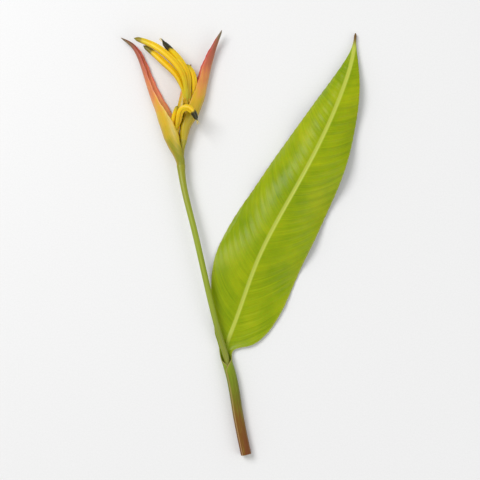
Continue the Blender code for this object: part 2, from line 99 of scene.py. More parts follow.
# Leaf: route of the middle of its back, from the cut end of the sheath to the tip of the blade
LEAF_ROUTE = (
    (47, -212, 0.35), (40.6, -180, 0.35), (35.2, -152, 0.35), (32.6, -141.5, 0.4), (32.8, -136, 0.6),
    (36, -126, 1.2), (43.4, -106, 2.8), (56, -72, 8.6), (78.5, -29, 14), (101, 13, 14.6), (117, 50, 10.4),
    (126, 81, 4.4), (127.6, 94, 2.2),
)
SHEATH_RADIUS = 3.45
SHEATH_TURN = 3.75
SHEATH_SPIRAL = 0.55
SHEATH_LENGTH = 61.0
# Each table below gives a value along the leaf, by the distance from the cut end
HALF_WIDTHS = (
    (0, SHEATH_RADIUS * SHEATH_TURN), (SHEATH_LENGTH, SHEATH_RADIUS * SHEATH_TURN), (65, 10.2), (69, 7),
    (73, 5.2), (76, 5.8), (80, 9.6), (85, 16), (92, 21.6), (104, 26.6), (122, 30), (146, 31.6), (172, 31.8),
    (205, 29.8), (240, 25), (268, 18.6), (292, 10.8), (306, 5.6), (317, 2), (324, 0.9), (342, 0.6),
)
TURNS = (
    (0, SHEATH_TURN), (SHEATH_LENGTH, SHEATH_TURN), (65, 3), (69, 1.9), (74, 0.95), (80, 0.42), (88, 0.16),
    (100, 0), (120, -0.14), (150, -0.4), (190, -0.6), (250, -0.62), (300, -0.5), (342, -0.3),
)
# The left half of the blade, -1, droops more than the right half, 1, and starts narrower
DROOPS = {-1: 1.8, 1: 0.8}
LEFT_WIDTHS = ((0, 1), (72, 1), (80, 0.72), (92, 0.66), (110, 0.82), (145, 1), (342, 1))
# The blade leans to its right, so that its right edge meets the surface
LEANS = ((0, 0), (86, 0), (130, 0.03), (180, 0.06), (260, 0.05), (342, 0))
WAVE_HEIGHTS = ((0, 0), (92, 0), (125, 1), (170, 2.3), (270, 2.1), (315, 0.3), (342, 0))
WAVE_LENGTH = 61.0
WAVE_PHASES = {-1: 0.6, 1: 2.9}
MIDRIB_DEPTHS = ((0, 0), (64, 0), (74, 1), (92, 1.7), (200, 1.1), (310, 0.3), (342, 0.1))
MIDRIB_HALF_WIDTH = 1.7
# From 0 in the sheath to 1 in the blade: how far the sheet is unrolled, and how far the floor holds it up
UNROLLED = ((0, 0), (SHEATH_LENGTH, 0), (110, 1), (342, 1))
RESTING = ((0, 0), (62, 0), (72, 1), (342, 1))
# How much of the sheath's spiral is left
SPIRAL_SHARES = ((0, 1), (SHEATH_LENGTH, 1), (78, 0), (342, 0))
FLOOR_SOFTNESS = 0.6
LEAF_ROW_STEPS = ((0.1, 0.1), (57, 1), (110, 0.5), (None, 0.74))
# The share along that marks the cut face of the sheath
CUT_PLACE = -1.0
LEAF_COLUMNS = 40
LEAF_COLUMN_CROWDING = 1.3
# Corrugations of the blade: their (height, length), their share along the leaf, the width of the smooth
# strip by the midrib, and how far their phase drifts, over which length
CORRUGATIONS = ((0.11, 7.3), (0.06, 3.4))
CORRUGATED = ((0, 0), (80, 0), (105, 1), (300, 1), (318, 0), (400, 0))
SMOOTH_STRIP = 3.0
CORRUGATION_DRIFT = 1.4
CORRUGATION_DRIFT_LENGTH = 19
GROOVE_DEPTH = 0.38
GROOVE_HALF_WIDTH = 0.9
# How far a side vein climbs towards the tip on its way out: per millimetre, and per millimetre squared
VEIN_CLIMB = (0.42, 0.018)

# Bracts: a side of -1 is the left. The tables give values by the share of the length from the foot.
UPPER_ROLLS = ((0, 0), (0.2, 0.05), (0.5, 0.3), (1, 0.35))
SMALL_OPENINGS = ((0, 2.85), (0.06, 2.4), (0.13, 1.8), (0.22, 1.6), (1, 1.57))
BRACTS = {
    "bract_1": Record(
        side=-1, rolls=((0, 0), (0.2, 0.08), (0.45, 0.45), (0.7, 0.6), (1, 0.6)),
        openings=((0, 2.85), (0.04, 2.4), (0.09, 1.8), (0.16, 1.6), (1, 1.57)),
        route=(
            (0.1, -3, 7.4), (0.1, 3, 7.1), (-0.5, 12, 6.9), (-3, 22, 6.7), (-8, 32.7, 6.4),
            (-14.9, 44.2, 5.7), (-20.6, 55.8, 4.8), (-24.8, 66.5, 4.2), (-29.3, 76.9, 4.2),
            (-34.6, 84.2, 4.6), (-44.2, 89.8, 5.2),
        ),
        depths=(
            (0, 2.7), (0.04, 4.2), (0.12, 8.2), (0.22, 10.2), (0.33, 9.7), (0.45, 7.1), (0.57, 5.2),
            (0.7, 4), (0.81, 3.1), (0.9, 1.9), (1, 0.3),
        ),
        widths=(
            (0, 2.7), (0.1, 4.3), (0.2, 5), (0.34, 4.8), (0.5, 3.7), (0.65, 2.5), (0.85, 1.3), (1, 0.25),
        ),
    ),
    "bract_2": Record(
        side=1, rolls=UPPER_ROLLS,
        openings=((0, 2.85), (0.08, 2.45), (0.18, 2.05), (0.27, 1.6), (1, 1.57)),
        route=(
            (1.7, 15.4, 6.9), (2.2, 24, 6.8), (4.6, 36, 6.6), (8.5, 48, 6.2), (12, 58, 5.8),
            (14.9, 67, 5.7), (18.6, 76, 5.9), (23.4, 85, 6.5), (29.5, 95, 7.4),
        ),
        depths=(
            (0, 2.5), (0.09, 3.9), (0.24, 8), (0.39, 8.5), (0.51, 7.2), (0.62, 6.2), (0.74, 4.7),
            (0.86, 2.5), (1, 0.3),
        ),
        widths=((0, 2.5), (0.1, 3.8), (0.25, 4.9), (0.42, 4.4), (0.6, 3.2), (0.8, 1.8), (1, 0.25)),
    ),
    "bract_3": Record(
        side=-1, rolls=UPPER_ROLLS, openings=SMALL_OPENINGS,
        route=(
            (0.85, 27.4, 6.7), (1.4, 35, 6.6), (2.9, 44, 6.4), (4.5, 53.5, 6.1), (6, 62.5, 5.9),
            (7.2, 70, 5.8),
        ),
        depths=((0, 2.05), (0.12, 2.9), (0.26, 3.8), (0.48, 3.7), (0.75, 2.4), (1, 0.3)),
        widths=((0, 2.05), (0.15, 2.55), (0.4, 2.5), (0.7, 1.65), (1, 0.25)),
    ),
    "bract_4": Record(
        side=1, rolls=((0, 0), (1, 0.2)), openings=SMALL_OPENINGS,
        route=((1.95, 37.8, 6.6), (2.6, 41.5, 6.5), (3.8, 46, 6.4), (5, 51, 6.3)),
        depths=((0, 1.4), (0.3, 1.8), (0.6, 1.4), (1, 0.25)),
        widths=((0, 1.4), (0.4, 1.1), (0.75, 0.7), (1, 0.2)),
    ),
}
BRACT_SKIN_SHARES = ((0, 0.7), (0.06, 1), (0.85, 1), (1, 0.65))
BRACT_FOLDS = ((0, 1), (0.05, 1.05), (0.16, 1.3), (1, 1.3))
BRACT_ROW_CROWDING = 1.15
BRACT_ROWS = 120
BRACT_COLUMNS = 96
# A bract's foot runs down the axis this far, and sinks this deep into it at its end
BRACT_FOOT = 1.8
BRACT_FOOT_ROWS = 9
BRACT_FOOT_SINK = 0.12
# Relief of a bract: its share along it, the (height, length) of the waves of its rims, and its fine nerves
BRACT_RELIEF = ((0, 0), (0.12, 1), (0.8, 1), (1, 0))
RIM_WAVES = ((0.16, 11), (0.07, 4.3))
RIM_PHASES = {-1: 0.7, 1: 3.1}
RIM_POWER = 10
BRACT_NERVES = 26
NERVE_HEIGHT = 0.03
NERVE_EDGE_POWER = 8

# Radius of a floret of size 1, by the share of its length
FLORET_RADII = (
    (0, 0.85), (0.16, 0.95), (0.2, 1.5), (0.25, 1.75), (0.3, 1.5), (0.45, 2.2), (0.7, 2.5), (0.88, 2.15),
    (0.96, 1.6), (1, 0.7),
)
FLORET_SIDES = 60
FLORET_ROWS = 76
FLORET_ROW_CROWDING = 0.85
SEPALS = 3
SEPAL_ROUNDING = 0.1
# Seams between the sepals, in shares of a floret's radius and in radians, and their depth along it
SEAM_DEPTH = 0.08
SEAM_HALF_WIDTH = 0.11
SEAM_LAP = 0.07
SEAM_LAP_HALF_WIDTH = 0.5
SEAM_SHARES = ((0, 0), (0.28, 0), (0.46, 1), (1, 1))
# The sepal of an open floret that stands free. Its first number in sheet falls from 1 by edge_mark, as the
# share across to the power of mark_power.
FREE_SEPAL = Record(
    start=0.5, half_width=1.4, taper=0.8, cup=0.35, start_off=1.0, stand_off=5.5, bend=1.6, skin=0.6,
    edge_mark=1.9, mark_power=4, rows=40, columns=16,
)
# The scale leaf at a floret's foot: a pointed sheet that hugs the floret and stands off at its tip
SCALE = Record(
    start=0.8, length=15.0, clear=0.1, stand_off=0.9, bend=5, half_turn=1.5, skin=0.24, rows=36, columns=20,
    turn_shares=((0, 1), (0.35, 0.95), (0.7, 0.55), (1, 0.05)), places=(0.16, 0.37),
)
# An opened floret has a free sepal and anthers. dark is the strength of the dark tip, and scale is the side
# of the scale leaf, in radians from the right side towards the top.
FLORETS = {
    "florets_1": Record(
        foot=(-4.8, 9.4, 7), foot_size=(1.9, 3.2, 2.6),
        stems=(
            Record(size=0.98, opened=True, dark=1.0, scale=0.5, route=(
                (-4.7, 9.6, 7.7), (-4.2, 17, 7.8), (-2.6, 23.6, 10.2), (-1.2, 29.4, 14.6), (1, 34.4, 18),
                (5, 35.8, 19.2), (9.2, 32.8, 18.7), (12, 27, 17.2),
            )),
            Record(size=0.95, opened=False, dark=0.15, scale=1.3, route=(
                (-5.4, 9.6, 6.9), (-7.2, 18, 7.2), (-5.7, 26, 8.1), (-3.9, 32.6, 11), (-2.2, 38, 13.6),
            )),
            Record(size=0.7, opened=False, dark=0.1, scale=1.6, route=(
                (-5.4, 9.6, 6), (-9.2, 19, 5.8), (-11.2, 29, 5.8), (-12.6, 37, 6),
            )),
        ),
    ),
    "florets_2": Record(
        foot=(5.6, 28.6, 6.8), foot_size=(1.5, 3.6, 2.3),
        stems=(
            Record(size=1.0, opened=True, dark=1.0, scale=1.8, route=(
                (5.8, 30, 7.2), (5.9, 38, 8.5), (5.9, 46, 10.1), (5.5, 54, 11.7), (4.2, 62, 13.2),
                (0.6, 68.8, 13.6), (-2.8, 73.4, 13.6), (-7.2, 78.3, 13.2), (-13.4, 85.4, 12.2),
            )),
            Record(size=1.0, opened=False, dark=0.45, scale=1.9, route=(
                (5.5, 30, 7.4), (4.6, 36, 9.4), (4.1, 44, 12.8), (3.4, 52, 15.6), (1.8, 59, 16.9),
                (-2.8, 66.8, 17.4), (-10.9, 75.2, 16.9), (-19.4, 81.4, 15.6), (-34, 87.6, 12.9),
            )),
            Record(size=0.95, opened=False, dark=0.72, scale=2.5, route=(
                (5.4, 30, 6.8), (4.7, 37, 9.4), (3, 45, 12.4), (0.9, 52, 13.2), (-2.8, 59.8, 13.2),
                (-10.9, 68.4, 12.6), (-19.2, 76.2, 11.6), (-27.4, 82.8, 10.3),
            )),
            Record(size=0.85, opened=False, dark=0.1, scale=0.9, route=(
                (6.2, 30, 5.9), (8, 40, 6.6), (9.1, 48, 7.8), (9.5, 55, 9.2), (8.7, 61, 10.3),
                (6.4, 65.6, 10.8), (3.2, 68.8, 10.8),
            )),
        ),
    ),
    "florets_3": Record(
        foot=(-0.6, 36.4, 6.6), foot_size=(0.65, 1.8, 0.9),
        stems=(
            Record(size=0.46, opened=False, dark=0.1, scale=None, route=(
                (-0.7, 37, 6.6), (0.6, 43, 6.5), (2.2, 49, 6.2), (4, 54.5, 6.1), (5.6, 58.8, 6.4),
            )),
        ),
    ),
}
FOOT_ROWS = 21
FOOT_SIDES = 32
# Shares of the cushion's half turn where its first and last rings lie
FOOT_ENDS = (0.02, 0.98)
# The foot has the colours of a floret up to this place on it
FOOT_PLACE = 0.05
ANTHERS = 5
ANTHER_LENGTH = 1.5
ANTHER_RADIUS = 0.24
# Shares of the anther's half turn where its ends lie, and the share of it below the filament's end
ANTHER_ENDS = (0.04, 0.96)
ANTHER_SINK = 0.15
# Filaments start inside the floret, this far from its tip, and stand out of it by a length in this range
FILAMENT_START = 3.0
FILAMENT_REACH = (0.8, 2.4)
FILAMENT_SPREAD = (0.15, 0.65)
FILAMENT_SHIFT = 0.25
FILAMENT_RADIUS = 0.15
FILAMENT_ROWS = 11
FILAMENT_SIDES = 10

# Colours are 8-bit tones. A ramp holds (place, tone) stops.
RAMPS = {
    "blade": ((0.3, (119, 146, 1)), (0.5, (141, 161, 2)), (0.7, (162, 174, 3))),
    "sheath": (
        (0, (118, 66, 30)), (0.28, (122, 84, 30)), (0.55, (112, 108, 26)), (0.8, (116, 132, 28)),
        (1, (136, 154, 36)),
    ),
    # The first stops of the outside, the dark olive at the foot, are partly the bract's own colour and
    # partly painted shade
    "bract outside": (
        (0, (136, 138, 10)), (0.08, (148, 142, 6)), (0.2, (190, 166, 8)), (0.38, (218, 176, 26)),
        (0.48, (228, 156, 70)), (0.61, (212, 124, 76)), (0.74, (186, 98, 66)), (0.87, (162, 88, 60)),
        (0.955, (136, 104, 64)), (1, (118, 106, 80)),
    ),
    "bract inside": (
        (0, (224, 196, 40)), (0.2, (250, 200, 64)), (0.34, (255, 196, 110)), (0.5, (255, 180, 128)),
        (0.66, (242, 156, 112)), (0.78, (208, 118, 84)), (0.9, (170, 96, 66)), (1, (112, 92, 70)),
    ),
    "floret": (
        (0, (180, 184, 40)), (0.18, (196, 186, 30)), (0.34, (220, 190, 16)), (0.52, (238, 196, 6)),
        (0.8, (244, 204, 10)), (0.91, (212, 188, 22)), (1, (136, 138, 26)),
    ),
    "stalk": (
        (0, (150, 120, 60)), (0.24, (132, 136, 40)), (0.4, (138, 156, 24)), (0.65, (146, 162, 24)),
        (0.79, (146, 150, 18)), (0.84, (154, 148, 12)), (1, (194, 172, 30)),
    ),
}
# Markings: the tone, then the low, high, top and bottom of the step that gives its share
MARKS = {
    "blade band": ((100, 132, 1), 0.45, 0.62, 0.26),
    "blade line": ((174, 188, 14), 0.4, 0.68, 0.3),
    "midrib": ((186, 196, 78), 0.7, 1.9, 0, 1),
    "blade edge": ((170, 176, 70), 0.955, 0.995, 0.55),
    "blade wear": ((120, 92, 44), 0.9, 1),
    "blade tip": ((112, 84, 46), 0.962, 0.99),
    "sheath line": ((150, 158, 60), 0.5, 0.72, 0.4),
    "sheath edge": ((168, 140, 92), 0.94, 0.985, 0.8),
    "sheath flesh": ((198, 196, 136), 0.1, 0.3),
    "bract rim": ((190, 82, 72), 0.72, 0.97, 0.45),
    "bract keel": ((190, 154, 44), 0.04, 0.46, 0, 0.85),
    "bract inner rim": ((212, 84, 92), 0.88, 0.98, 0.8),
    "bract streak": ((250, 214, 150), 0.5, 0.75, 0.18),
    "bract freckle": ((156, 84, 44), 0.73, 0.8, 0.45),
    "floret blotch": ((238, 158, 10), 0.48, 0.74, 0.38),
    "floret streak": ((252, 226, 50), 0.52, 0.7, 0.3),
    "floret seam": ((204, 130, 10), -0.99, -0.86, 0, 0.6),
    "sepal middle": ((214, 190, 24), 0.92, 1, 0.35),
    "floret tip": ((42, 43, 8), 0, 0.035),
    "stalk line": ((178, 180, 70), 0.5, 0.75, 0.4),
    "stalk shade": ((104, 122, 14), 0.5, 0.28, 0.35),
    "stalk speck": ((118, 104, 44), 0.7, 0.8, 0.5),
    "stalk flesh": ((206, 208, 150), 0.1, 0.35),
    "pollen": ((240, 224, 170), 0.4, 0.6),
    "floor": ((238, 238, 238), 0.3, 0.7),
}
BLADE_UNDERSIDE = (150, 168, 84)
BLADE_UNDERSIDE_SHARE = 0.55
FILAMENT = (228, 210, 120)
POLLEN_SHADE = (214, 190, 120)
FLOOR_SHADE = (235, 235, 235)
# The constants of each look's shader, in the order of the sockets. None leaves a socket alone.
SOCKETS = (
    "Subsurface Weight", "Subsurface Scale", "Specular IOR Level", "Roughness", "Coat Weight",
    "Coat Roughness",
)
SHADERS = {
    "leaf_skin": (0.08, 0.002, 0.14, None, 0.04, 0.25),
    "bract_skin": (0.12, 0.0015, None, None, 0.08, 0.3),
    "floret_skin": (0.15, 0.0015, 0.35, 0.38, 0.05, 0.3),
    "stalk_skin": (0.05, 0.001, None, 0.42, 0.08, None),
    "anther_skin": (0.1, 0.0005, None, 0.6, None, None),
    "pale_floor": (None, None, None, 0.55, None, None),
}
NOISE_ROUGHNESS = 0.55
# Noises: their scale, and where they differ from the usual, their stretch and detail
VEIN_LINES = (1.1, (1, 0.03, 1), 2)
VEIN_BANDS = (0.14, (1, 0.12, 1), 2)
BLADE_PATCHES = (0.035, (1, 0.8, 0))
BLADE_SPOTS = (0.5, (1, 1, 0), 2)
SHEATH_LINES = (1, (1.6, 0.05, 0))
BRACT_STREAKS = (1, (0.9, 0.05, 1))
BRACT_BLOTCHES = (0.16, (1, 0.6, 1), 2)
BRACT_FRECKLES = (2.6, (1, 0.7, 1), 1)
FLORET_STREAKS = (1, (1.4, 0.08, 1))
FLORET_BLOTCHES = (0.25, (1, 0.7, 1), 2)
STALK_STREAKS = (1, (1.5, 0.04, 1))
STALK_SPECKS = (1.6, (1, 0.35, 1), 1)
POLLEN_GRAINS = (3000,)
FLOOR_GRAINS = (900,)
# Steps: low, high, and where they aren't 1 and 0, top and bottom. The first three are in millimetres.
ON_BLADE = (58, 84)
ON_MIDRIB = (76, 90)
ALONG_SHEATH = (8, 92)
WORN = (0.62, 0.7)
UPPER_FACE = (0.3, 0.7)
LEAF_UNCUT = (0.6 * CUT_PLACE, 0)
LEAF_ROUGHNESS = (0.3, 0.7, 0.42, 0.3)
BRACT_SHIFT = (0.6, 1.4, 0.07, -0.07)
BRACT_ROUGHNESS = (0.8, 1, 0.7, 0.36)
RIGHT_FOOT = (-1, 1, 0.19)
BELOW_TIP = (0.86, 0.95, 0, 1)
BLUSHED = (0.5, 0.74)
BLUSHED_INSIDE = (0.26, 0.46)
BELOW_KEEL_END = (0.66, 0.92, 0, 1)
FLORET_SHIFT = (0.3, 0.7, 0.012, -0.012)
ON_SEPALS = (0.28, 0.44)
START_OF_DARK = (0, 1, 0.83, 0.96)
STALK_SHIFT = (0.3, 0.7, 0.03, -0.03)
STALK_UNCUT = (-0.2, -0.02)
ON_ANTHER = (0.4, 0.6)
# How far the sheath's lines shift its colours, in millimetres
RAGGED = 26
# Cut faces: the scale and the tone of their fibres, and the marking of their flesh
SHEATH_FACE = (2200, (150, 138, 84), "sheath flesh")
STALK_FACE = (1800, (150, 140, 80), "stalk flesh")
# Reliefs: their height in metres and their strength
LEAF_BUMP = (0.00016, 0.7)
BRACT_BUMP = (0.00012, 0.6)
FLORET_BUMP = (0.0001, 0.6)
STALK_BUMP = (0.00014, 0.7)
ANTHER_BUMP = (0.00005, 0.6)

# Camera, floor and lights. The elevation is in degrees, the lens in millimetres and the rest in metres.
CAMERA_ELEVATION = 86.0
CAMERA_LENS = 90.0
CAMERA_DISTANCE = 0.86
FLOOR_HALF_SIZE = 2.5
SKY_STRENGTH = 0.5
# (name, place, size, power in watts)
LAMPS = (("key", (-1.1, 0.85, 1.8), 1.13, 31.5), ("fill", (0.9, -0.5, 0.9), 0.9, 3.5))


def tone(colour):
    """The linear colour of an 8-bit one."""
    shares = np.array(colour) / 255
    linear = np.where(shares <= 0.04045, shares / 12.92, ((shares + 0.055) / 1.055) ** 2.4)
    return (*linear.tolist(), 1)


def profile(table, at):
    """Values at the places `at` on a monotone cubic curve through the table's (place, value) pairs."""
    places, values = np.array(table, float).T
    at = np.asarray(at, float)
    gaps = np.diff(places)
    slopes = np.diff(values) / gaps
    tangents = np.zeros(len(places))
    tangents[0], tangents[-1] = slopes[0], slopes[-1]
    for i in range(1, len(slopes)):
        if slopes[i - 1] * slopes[i] > 0:
            tangents[i] = 2 * slopes[i - 1] * slopes[i] / (slopes[i - 1] + slopes[i])
    cell = np.clip(np.searchsorted(places, at) - 1, 0, len(gaps) - 1)
    t = np.clip((at - places[cell]) / gaps[cell], 0, 1)
    rise = values[cell] + t * t * (3 - 2 * t) * (values[cell + 1] - values[cell])
    bend = t * (1 - t) * gaps[cell] * ((1 - t) * tangents[cell] - t * tangents[cell + 1])
    return rise + bend


def column(table, at):
    """The same values as a column, for a grid with a row at each of the places."""
    return profile(table, at)[:, None]


def distances(points):
    """How far along the line through the points each of them lies."""
    return np.concatenate([[0], np.cumsum(np.linalg.norm(np.diff(points, axis=0), axis=1))])


def spline(points):
    """The natural cubic spline through `points`, as a record of close points on it and their distances."""
    points = np.array(points, float)
    knots = distances(points)
    count, gaps = len(points), np.diff(knots)
    system, right = np.eye(count), np.zeros((count, 3))
    for i in range(1, count - 1):
        system[i, i - 1 : i + 2] = gaps[i - 1], 2 * (gaps[i - 1] + gaps[i]), gaps[i]
        step_in = (points[i] - points[i - 1]) / gaps[i - 1]
        step_out = (points[i + 1] - points[i]) / gaps[i]
        right[i] = 6 * (step_out - step_in)
    curving = np.linalg.solve(system, right)
    at = np.linspace(0, knots[-1], SPLINE_STEPS * (count - 1) + 1)
    cell = np.clip(np.searchsorted(knots, at) - 1, 0, count - 2)
    gap = gaps[cell][:, None]
    after = (at - knots[cell])[:, None]
    before = gap - after
    straight = (points[cell] * before + points[cell + 1] * after) / gap
    sag_before = (before**3 / gap - before * gap) * curving[cell]
    sag_after = (after**3 / gap - after * gap) * curving[cell + 1]
    curve = straight + (sag_before + sag_after) / 6
    reached = distances(curve)
    return Record(points=curve, at=reached, length=reached[-1])


def along(line, at):
    """The points of the line at the distances `at`."""
    return np.stack([np.interp(at, line.at, line.points[:, i]) for i in range(3)], axis=1)


def unit(vectors):
    return vectors / np.linalg.norm(vectors, axis=-1, keepdims=True)


def frames(centres):
    """(right, up) at each centre, square to the line through the centres and with right level."""
    forward = unit(np.gradient(centres, axis=0))
    right = unit(np.cross(forward, (0, 0, 1)))
    return right, np.cross(right, forward)


def spread(centres, first, first_axis, second, second_axis):
    """A grid of points: each row's centre moved by the two grids of distances along the row's two axes."""
    first_move = first[..., None] * first_axis[:, None]
    second_move = second[..., None] * second_axis[:, None]
    return centres[:, None] + first_move + second_move


def round_angles(sides):
    return 2 * math.pi * np.arange(sides) / sides


def rounded_end(rows):
    """Shares of the size for each row of a piece, with its last rows rounded off."""
    shares = np.ones(rows)
    shares[-len(TIP_SHARES) :] = TIP_SHARES
    return shares


def thickness(kind, share, strength=1):
    """Shares of a sheet's thickness at the shares across. strength says how much of the loss applies."""
    loss, power = EDGES[kind]
    return 1 - loss * strength * np.abs(share) ** power


def by_side(share, values):
    """The value for the left, -1, where the share across is below 0, and else the one for the right, 1."""
    return np.where(share < 0, values[-1], values[1])


def bow(width, turn, share):
    """Sideways and upward places on an arc that turns by `turn` over `width`, at `share` of both."""
    angle = turn * share
    flat = np.abs(angle) < SMALL_ANGLE
    safe = np.where(flat, 1, angle)
    sideways = width * share * np.where(flat, 1, np.sin(safe) / safe)
    upward = width * share * np.where(flat, 0, (1 - np.cos(safe)) / safe)
    return sideways, upward


# A shape is a record of points, quads, caps, which are all its other faces, and sheet and flat, which hold
# three numbers for each point that the looks read. On a sheet, sheet is (share across, share along, 1 on the
# upper or inner face and 0 on the other). On a tube its first number is 1 on the middle of a sepal and -1 on
# a seam, and its third number is free. flat is (distance across, distance along, a free number), in
# millimetres.


def tags(*columns):
    """Three numbers for each point, from three grids or single numbers."""
    return np.stack(np.broadcast_arrays(*columns), axis=-1)


def wrap(rings, sheet, flat, caps):
    """The closed shape of rings of points, joined each to the next. caps close its first ring."""
    rows, sides = rings.shape[:2]
    index = np.arange(rows * sides).reshape(rows, sides)
    turned = np.roll(index, -1, axis=1)
    quads = np.stack([index[:-1], turned[:-1], turned[1:], index[1:]], axis=-1).reshape(-1, 4)
    last = (rows - 1) * sides
    caps = [*caps, *(tuple(last + i for i in reversed(cap)) for cap in caps)]
    points = rings.reshape(-1, 3)
    first, second, third, fourth = points[quads].transpose(1, 0, 2)
    volume = (first * (np.cross(second, third) + np.cross(third, fourth))).sum()
    if volume < 0:
        quads = quads[:, ::-1]
        caps = [cap[::-1] for cap in caps]
    sheet, flat = sheet.reshape(-1, 3), flat.reshape(-1, 3)
    return Record(points=points, quads=quads, caps=caps, sheet=sheet, flat=flat)


def shell(inner, outer, sheet, flat):
    """The closed sheet between two grids of points, with a rounded edge on both sides."""
    columns, bends = inner.shape[1], len(EDGE_BENDS)

    def edge(side, neighbour):
        middle = (inner[:, side] + outer[:, side]) / 2
        half = (inner[:, side] - outer[:, side]) / 2
        beyond = unit(middle - (inner[:, neighbour] + outer[:, neighbour]) / 2)
        beyond = beyond * np.linalg.norm(half, axis=-1, keepdims=True)
        arc = [middle + math.cos(bend) * half + math.sin(bend) * beyond for bend in np.radians(EDGE_BENDS)]
        return np.stack(arc, axis=1)

    def all_round(grid):
        right, left = np.repeat(grid[:, -1:], bends, axis=1), np.repeat(grid[:, :1], bends, axis=1)
        return np.concatenate([grid, right, grid[:, ::-1], left], axis=1)

    rings = np.concatenate([inner, edge(-1, -2), outer[:, ::-1], edge(0, 1)[:, ::-1]], axis=1)
    sheet = all_round(sheet)
    sheet[..., 2] = np.repeat((1, 0.5, 0, 0.5), (columns, bends, columns, bends))
    back = [columns + bends + columns - 1 - i for i in range(columns)]
    caps = [(i + 1, i, back[i], back[i + 1]) for i in range(columns - 1)]
    caps.append(tuple(range(columns + bends, columns - 2, -1)))
    total = rings.shape[1]
    caps.append((0, *range(total - 1, total - 2 - bends, -1)))
    return wrap(rings, sheet, all_round(flat), caps)


def tube(centres, radii, ring, sheet_rows, flat_rows, free, cut=()):
    """A closed tube round the centres.

    ring holds a share of the radius for each side, or for each row and side. sheet_rows and flat_rows are
    the rows' places for sheet and flat, and free is the third number of both. cut holds the shares of rings
    on a flat face at the tube's start, from its middle outwards.
    """
    row = np.concatenate([np.zeros(len(cut), int), np.arange(len(centres))])
    shares = np.concatenate([cut, np.ones(len(centres))])
    ring = np.broadcast_to(ring, (len(centres), ring.shape[-1]))[row]
    right, up = frames(centres)
    sides = ring.shape[1]
    angles = round_angles(sides)
    reach = (shares * radii[row])[:, None] * ring
    rings = spread(centres[row], reach * np.cos(angles), right[row], reach * np.sin(angles), up[row])
    sheet = tags(np.cos(SEPALS * angles), (sheet_rows[row] + shares - 1)[:, None], free)
    from_left = np.abs(angles - math.pi) * radii[row, None]
    flat = tags(from_left, (flat_rows[row] + shares - 1)[:, None], free)
    return wrap(rings, sheet, flat, [tuple(range(sides - 1, -1, -1))])


def place_in_scene(name, data):
    """A new object with that data, linked into the scene."""
    thing = bpy.data.objects.new(name, data)
    bpy.context.scene.collection.objects.link(thing)
    return thing


def piece(name, parts, node):
    """A piece that rides on the root body and stands for the node, from (shape, look) pairs."""
    shapes, looks = zip(*parts)
    order = list(dict.fromkeys(looks))
    faces, slots, start = [], [], 0
    for shape, look in parts:
        made = (shape.quads + start).tolist() + [[i + start for i in cap] for cap in shape.caps]
        faces += made
        slots += [order.index(look)] * len(made)
        start += len(shape.points)
    points = np.concatenate([shape.points for shape in shapes])
    mesh = bpy.data.meshes.new(name)
    mesh.from_pydata(((points + HEAD) * METRE).tolist(), [], faces)
    for look in order:
        mesh.materials.append(bpy.data.materials[look])
    mesh.polygons.foreach_set("material_index", slots)
    for label in ("sheet", "flat"):
        values = np.concatenate([getattr(shape, label) for shape in shapes]).astype(np.float32)
        mesh.attributes.new(label, "FLOAT_VECTOR", "POINT").data.foreach_set("vector", values.ravel())
    mesh.shade_smooth()
    thing = place_in_scene(name, mesh)
    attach(thing, "root")
    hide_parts(node)


def rows_by_steps(steps, length):
    """Distances of a piece's rows from its start, by a table of row steps."""
    places, start = [np.zeros(1)], 0
    for end, distance in steps:
        end = length if end is None else end
        places.append(np.linspace(start, end, int((end - start) / distance) + 1)[1:])
        start = end
    return np.concatenate(places)


def leaf_columns(at):
    """The shares across of the leaf's points, from -1 to 1, and the half width that they are shares of."""
    half = np.linspace(0, 1, LEAF_COLUMNS + 1)
    opened = column(UNROLLED, at)
    half = half * (1 - opened) + half**LEAF_COLUMN_CROWDING * opened
    share = np.concatenate([-half[:, :0:-1], half], axis=1)
    width = (profile(HALF_WIDTHS, at) * rounded_end(len(at)))[:, None]
    return share, width * np.where(share < 0, column(LEFT_WIDTHS, at), 1)


def leaf_section(at, share, width):
    """Sideways and upward places of the leaf's points, from the middle of its back."""
    turn = column(TURNS, at) * np.ones_like(share)
    turn = np.where(turn < 0, turn * by_side(share, DROOPS), turn)
    spiral = SHEATH_SPIRAL * column(SPIRAL_SHARES, at)
    sideways, upward = bow(width, turn, share)
    sideways = sideways + spiral * share * np.sin(turn * share)
    upward = upward - spiral * share * np.cos(turn * share)
    wave = np.sin(2 * math.pi * at[:, None] / WAVE_LENGTH + by_side(share, WAVE_PHASES))
    upward = upward + column(WAVE_HEIGHTS, at) * share**2 * wave
    lean = column(LEANS, at)
    level = sideways * np.cos(lean) + upward * np.sin(lean)
    height = upward * np.cos(lean) - sideways * np.sin(lean)
    return level, height


def corrugation(vein, from_midrib, at):
    """Height of the low waves between the side veins."""
    off_midrib = 1 - np.exp(-((from_midrib / SMOOTH_STRIP) ** 2))
    drift = CORRUGATION_DRIFT * np.sin(vein / CORRUGATION_DRIFT_LENGTH)
    height = sum(high * np.sin(2 * math.pi * vein / long + drift) for high, long in CORRUGATIONS)
    return column(CORRUGATED, at) * off_midrib * height


def leaf_faces(at, share, from_midrib):
    """How far the leaf's two faces stand off its middle surface, with the midrib's groove and rib."""
    end = rounded_end(len(at))[:, None]
    rib_depth = column(MIDRIB_DEPTHS, at) * end
    rib = rib_depth * np.exp(-((from_midrib / MIDRIB_HALF_WIDTH) ** 2))
    groove = GROOVE_DEPTH * np.minimum(rib_depth, 1) * np.exp(-((from_midrib / GROOVE_HALF_WIDTH) ** 2))
    half_skin = BLADE_SKIN / 2 * thickness("blade", share, column(RESTING, at)) * end
    return half_skin - groove, half_skin + rib


